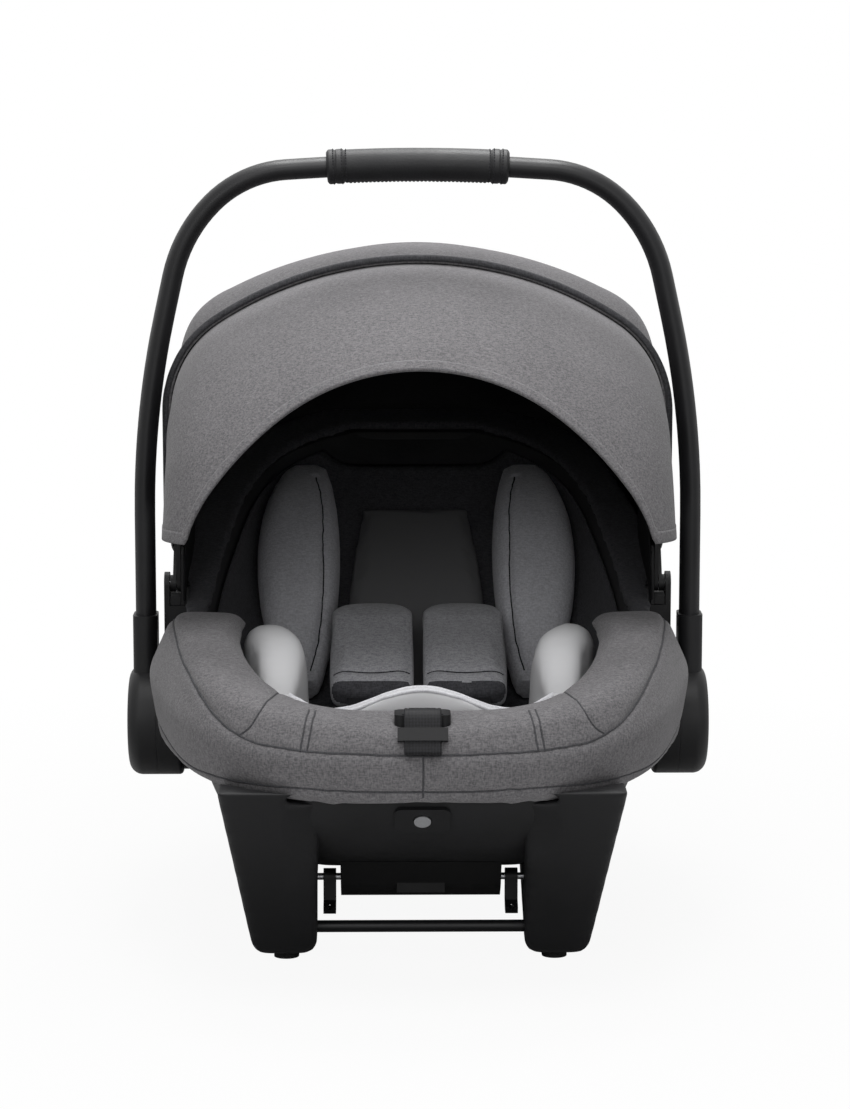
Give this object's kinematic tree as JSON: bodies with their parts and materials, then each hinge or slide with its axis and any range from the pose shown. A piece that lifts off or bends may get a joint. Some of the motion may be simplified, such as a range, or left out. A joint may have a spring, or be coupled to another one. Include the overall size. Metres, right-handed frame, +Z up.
{
  "type": "infant car seat",
  "caption": "Bucket-shaped infant car seat with a padded foot roll, harness, baby insert, folding hooded canopy, swinging carry handle and latch bars underneath.",
  "frame": {"origin": "On the floor, under the middle of the seat's bounding box", "axes": "+Z up, +Y from the foot end to the head end, +X to the right of a person who stands at the foot end and looks at the seat"},
  "size_m": [0.4416, 0.6481, 0.5739],
  "materials": {
    "shell_plastic": "fine-grained satin moulded shell",
    "foam": "expanded foam, matte",
    "dark_cloth": "dark knitted lining",
    "grey_melange": "grey melange woven cloth over padding",
    "light_cloth": "light grey brushed cloth over padding",
    "mid_cloth": "mid grey knitted cloth over padding",
    "charcoal_cloth": "charcoal knitted cloth over padding",
    "webbing": "woven polyester webbing",
    "black_plastic": "moulded black plastic, satin",
    "grip_wrap": "stitched leatherette wrap",
    "red_plastic": "moulded red push button",
    "steel": "zinc-plated steel",
    "handle_metal": "black powder-coated aluminium tube",
    "rubber": "soft rubber foot",
    "binding": "dark piping"
  },
  "bodies": {
    "shell": {"shell_bucket": "shell_plastic", "foam_liner": "foam", "seat_lining": "dark_cloth", "rim_trim": "dark_cloth", "front_bumper": "grey_melange", "adjuster_bezel": "black_plastic", "adjuster_strap": "webbing", "strap_slide": "black_plastic", "harness_yoke": "steel", "insert_front": "light_cloth", "seat_pad": "charcoal_cloth", "insert_bolster_left": "light_cloth", "insert_bolster_right": "light_cloth", "back_pad": "charcoal_cloth", "head_bolster_left": "charcoal_cloth", "head_bolster_right": "charcoal_cloth", "shoulder_pad_left": "mid_cloth", "shoulder_pad_right": "mid_cloth", "shoulder_straps": "webbing", "buckle_body": "black_plastic", "buckle_tongues": "black_plastic", "crotch_strap": "webbing", "hip_straps": "webbing", "rail_left": "shell_plastic", "rail_right": "shell_plastic", "belly_tray": "shell_plastic", "front_plate": "black_plastic", "base_screws": "steel", "front_bar": "handle_metal", "rear_bar": "handle_metal", "foot_pads": "rubber", "latch_pins": "steel", "release_housing": "black_plastic", "hub_bosses": "shell_plastic", "detent_plates": "steel", "pivot_bolts": "steel", "canopy_rear_panel": "grey_melange", "canopy_mounts": "black_plastic", "canopy_pins": "steel"},
    "handle": {"hub_inner_left": "black_plastic", "hub_inner_right": "black_plastic", "hub_cover_left": "black_plastic", "hub_cover_right": "black_plastic", "handle_tube": "handle_metal", "handle_grip": "grip_wrap", "grip_cuffs": "grip_wrap", "button_spring_left": "steel", "button_spring_right": "steel"},
    "hub_button_left": {"handle_button_left": "black_plastic"},
    "hub_button_right": {"handle_button_right": "black_plastic"},
    "canopy_front": {"canopy_front_panel": "grey_melange", "canopy_front_bow": "black_plastic"},
    "canopy_mid": {"canopy_mid_panel": "grey_melange", "canopy_mid_bow": "black_plastic", "canopy_binding": "binding"},
    "adjuster": {"adjuster_button": "black_plastic"},
    "buckle_release": {"buckle_button": "red_plastic"},
    "latch": {"latch_hooks": "black_plastic"},
    "pull": {"release_pull": "black_plastic"}
  },
  "joints": [
    {"name": "handle_swing", "type": "hinge", "parent": "shell", "child": "handle", "pos_m": [0, 0, 0.14], "axis": [-1, 0, 0], "range_deg": [0, 100]},
    {"name": "hub_button_left_press", "type": "slide", "parent": "handle", "child": "hub_button_left", "axis": [1, 0, 0], "range_m": [0, 0.004], "stiffness_N_per_m": 900, "deforming": ["button_spring_left"]},
    {"name": "hub_button_right_press", "type": "slide", "parent": "handle", "child": "hub_button_right", "axis": [-1, 0, 0], "range_m": [0, 0.004], "stiffness_N_per_m": 900, "deforming": ["button_spring_right"]},
    {"name": "canopy_front_fold", "type": "hinge", "parent": "shell", "child": "canopy_front", "pos_m": [0, 0.02, 0.242], "axis": [-1, 0, 0], "range_deg": [0, 44]},
    {"name": "canopy_mid_fold", "type": "hinge", "parent": "shell", "child": "canopy_mid", "pos_m": [0, 0.02, 0.242], "axis": [-1, 0, 0], "range_deg": [0, 22]},
    {"name": "adjuster_press", "type": "slide", "parent": "shell", "child": "adjuster", "axis": [0, 0, -1], "range_m": [0, 0.003], "stiffness_N_per_m": 800},
    {"name": "buckle_press", "type": "slide", "parent": "shell", "child": "buckle_release", "axis": [0, 0.866, -0.5], "range_m": [0, 0.003], "stiffness_N_per_m": 1200},
    {"name": "release_pull_lift", "type": "slide", "parent": "shell", "child": "pull", "axis": [0, 0.5239, 0.8518], "range_m": [0, 0.012], "stiffness_N_per_m": 700},
    {"name": "latch_swing", "type": "hinge", "parent": "shell", "child": "latch", "pos_m": [0, -0.172, 0.059], "axis": [1, 0, 0], "range_deg": [0, 25]}
  ],
  "couplings": [
    {"joint": "canopy_mid_fold", "follows": "canopy_front_fold", "ratio": 0.5},
    {"joint": "latch_swing", "follows": "release_pull_lift", "rad_per_m": 36.288}
  ]
}
